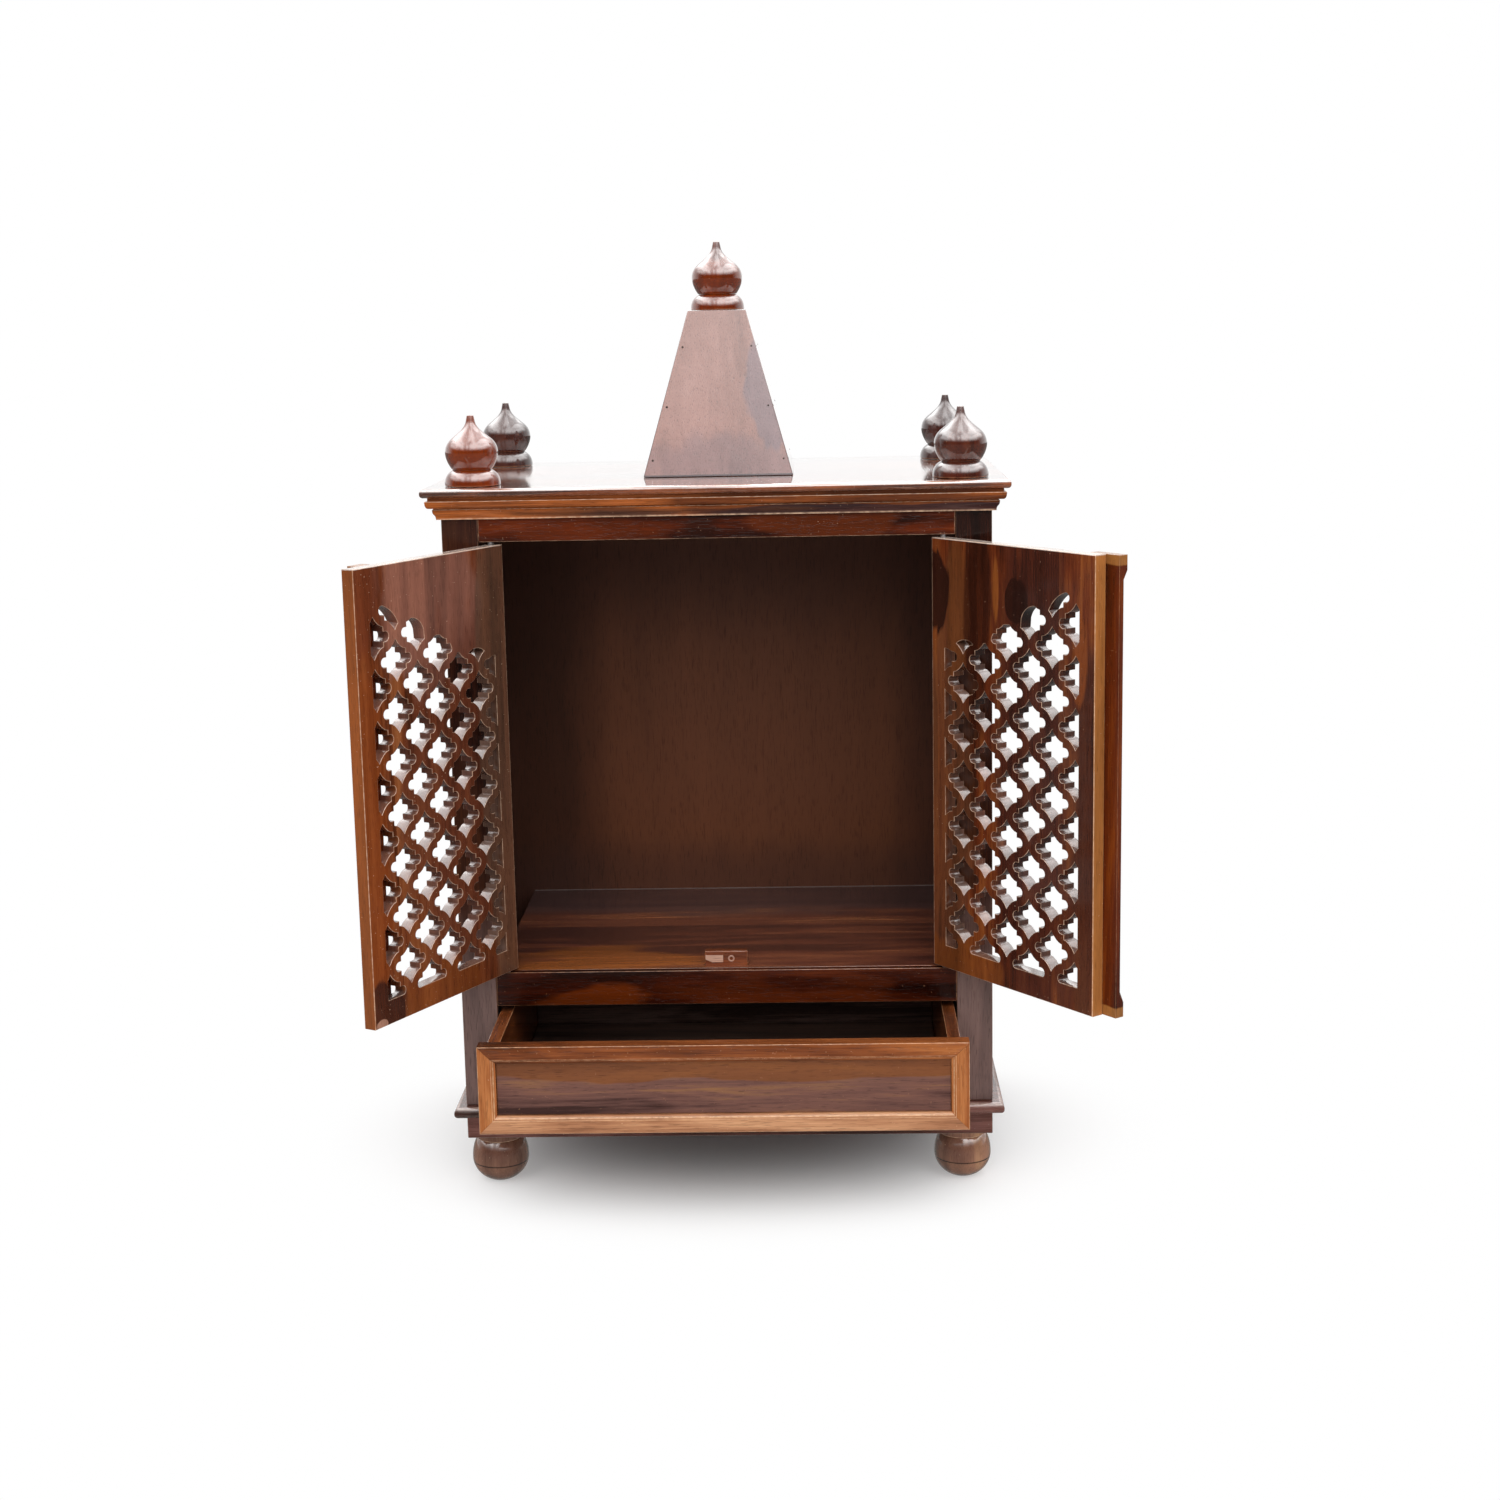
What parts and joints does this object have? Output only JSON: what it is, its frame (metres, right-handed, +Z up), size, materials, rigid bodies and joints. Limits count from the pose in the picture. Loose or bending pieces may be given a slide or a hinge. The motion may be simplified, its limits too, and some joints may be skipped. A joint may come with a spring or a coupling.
{
  "type": "small wooden home temple",
  "caption": "Small wooden home temple: a cabinet on ball feet with pierced double doors, a drawer under the shrine shelf and a pyramid spire with turned finials.",
  "frame": {"origin": "in the middle of the shrine shelf's top, in the middle of the carcass's width and depth; the floor is 249.9 mm lower", "axes": "+X to the right seen from the front, +Y to the back, +Z up; the front faces -Y; doors and drawer stand open as in the picture"},
  "size_m": [0.7537, 0.5683, 1.0158],
  "materials": {
    "dark_wood": "dark polished lacquer",
    "red_wood": "polished lacquer, streaked",
    "warm_wood": "polished lacquer, worn edges",
    "turned_wood": "turned and glossy",
    "inside_wood": "dark stained, plain",
    "pin_steel": "plain"
  },
  "bodies": {
    "cabinet": {"foot_front_left": "turned_wood", "foot_front_right": "turned_wood", "foot_back_left": "turned_wood", "foot_back_right": "turned_wood", "finial_front_left": "turned_wood", "finial_front_right": "turned_wood", "finial_back_left": "turned_wood", "finial_back_right": "turned_wood", "spire_finial": "turned_wood", "plinth_front": "dark_wood", "plinth_back": "dark_wood", "plinth_left": "dark_wood", "plinth_right": "dark_wood", "base_board": "dark_wood", "stile_left": "dark_wood", "stile_right": "dark_wood", "side_panel_left": "dark_wood", "side_panel_right": "dark_wood", "bottom_rail": "dark_wood", "catch_block": "dark_wood", "back_panel": "inside_wood", "drawer_runner_left": "inside_wood", "drawer_runner_right": "inside_wood", "drawer_guide_left": "inside_wood", "drawer_guide_right": "inside_wood", "shelf_rail": "red_wood", "shelf_board": "red_wood", "top_rail": "red_wood", "roof_board": "warm_wood", "cornice_front": "warm_wood", "cornice_left": "warm_wood", "cornice_right": "warm_wood", "spire_front": "warm_wood", "spire_right": "warm_wood", "spire_back": "warm_wood", "spire_left": "warm_wood"},
    "door_left": {"door_left_panel": "red_wood", "door_left_batten": "warm_wood", "door_left_pin_top": "pin_steel", "door_left_pin_bottom": "pin_steel"},
    "door_right": {"door_right_panel": "red_wood", "door_right_astragal": "warm_wood", "door_right_pin_top": "pin_steel", "door_right_pin_bottom": "pin_steel"},
    "drawer": {"drawer_front_frame": "warm_wood", "drawer_front_panel": "red_wood", "drawer_side_left": "warm_wood", "drawer_side_right": "warm_wood", "drawer_back": "inside_wood", "drawer_bottom": "inside_wood"}
  },
  "joints": [
    {"name": "door_left_hinge", "type": "hinge", "parent": "cabinet", "child": "door_left", "pos_m": [-0.236, -0.17775, 0.233], "axis": [0, 0, -1], "range_deg": [-118.5, 9.5]},
    {"name": "door_right_hinge", "type": "hinge", "parent": "cabinet", "child": "door_right", "pos_m": [0.236, -0.17775, 0.233], "axis": [0, 0, 1], "range_deg": [-127.3, 0.7]},
    {"name": "drawer_slide", "type": "slide", "parent": "cabinet", "child": "drawer", "axis": [0, -1, 0], "range_m": [-0.1085, 0.1]}
  ]
}
